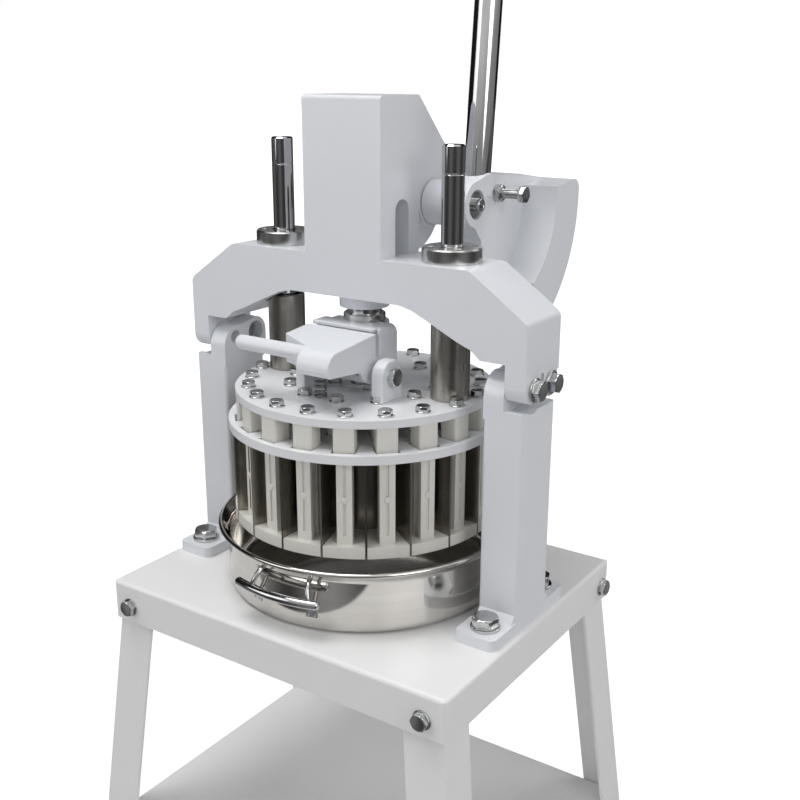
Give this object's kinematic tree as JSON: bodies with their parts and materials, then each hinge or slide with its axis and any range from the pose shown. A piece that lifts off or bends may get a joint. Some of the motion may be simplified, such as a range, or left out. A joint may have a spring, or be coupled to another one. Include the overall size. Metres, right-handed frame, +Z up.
{
  "type": "divider rounder",
  "caption": "Hand-lever dough divider: a rack-driven head of sheet knives and plastic presser segments over a round pan, on a splayed-leg table with a shelf.",
  "frame": {"origin": "middle of the footprint, on the floor", "axes": "+X to the machine's right, where the lever is, +Y to its back, +Z up"},
  "size_m": [0.5552, 0.443, 1.6922],
  "materials": {
    "white_paint": "satin white powder coat",
    "zinc": "bright zinc plate",
    "chrome": "polished",
    "steel": "turned or ground bare steel",
    "bronze": "machined",
    "nylon": "moulded, off-white",
    "rubber": "matt black"
  },
  "bodies": {
    "stand": {"table_plate": "white_paint", "shelf_tray": "white_paint", "leg_front_left": "white_paint", "leg_front_right": "white_paint", "leg_rear_left": "white_paint", "leg_rear_right": "white_paint", "leg_bolts": "zinc", "leg_pads": "rubber", "column_left": "white_paint", "column_right": "white_paint", "column_bolts": "zinc", "pivot_bolts": "zinc", "lock_bolts": "zinc", "yoke": "white_paint", "guide_ring_left": "chrome", "guide_ring_right": "chrome", "ram_bush": "bronze", "shaft_bushes": "bronze"},
    "lever": {"lever_shaft": "steel", "shaft_key": "steel", "shaft_collar": "steel", "pinion": "steel", "lever_hub": "white_paint", "hub_screw": "zinc", "stop_bolt": "zinc", "stop_nut": "zinc", "lever_rod": "chrome", "lever_grip": "rubber"},
    "head": {"ram": "chrome", "ram_collar": "steel", "crosshead": "steel", "oil_plug": "rubber", "guide_rod_left": "chrome", "guide_rod_right": "chrome", "knife_disc": "white_paint", "ring_blades": "steel", "blades_outer": "steel", "blades_middle": "steel", "blades_inner": "steel"},
    "presser": {"presser_disc": "white_paint", "plungers_outer": "nylon", "plungers_middle": "nylon", "plungers_inner": "nylon", "plunger_bolts": "zinc", "tie_bolts": "zinc", "tie_springs": "steel", "guide_tube_left": "steel", "guide_tube_right": "steel", "latch_lug_left": "white_paint", "latch_lug_right": "white_paint", "latch_pin": "zinc", "latch_spring": "steel"},
    "latch": {"latch_handle": "white_paint"},
    "pan": {"pan": "chrome", "pan_handles": "chrome", "pan_brackets": "zinc"}
  },
  "joints": [
    {"name": "lever_swing", "type": "hinge", "parent": "stand", "child": "lever", "pos_m": [0, 0.0556, 1.0265], "axis": [1, 0, 0], "range_deg": [0, 95.6]},
    {"name": "head_slide", "type": "slide", "parent": "stand", "child": "head", "axis": [0, 0, 1], "range_m": [-0.0735, 0]},
    {"name": "presser_slide", "type": "slide", "parent": "head", "child": "presser", "axis": [0, 0, 1], "range_m": [0, 0.014], "deforming": ["tie_springs"]},
    {"name": "latch_tilt", "type": "hinge", "parent": "presser", "child": "latch", "pos_m": [0, -0.0425, 0.8636], "axis": [1, 0, 0], "range_deg": [0, 12], "stiffness_Nm_per_rad": 3, "springref_deg": -14.32, "deforming": ["latch_spring"]},
    {"name": "pan_turn", "type": "hinge", "parent": "stand", "child": "pan", "pos_m": [0, 0, 0.62], "axis": [0, 0, 1], "range_deg": [-35, 35]}
  ],
  "couplings": [
    {"joint": "head_slide", "follows": "lever_swing", "m_per_rad": -0.044}
  ]
}
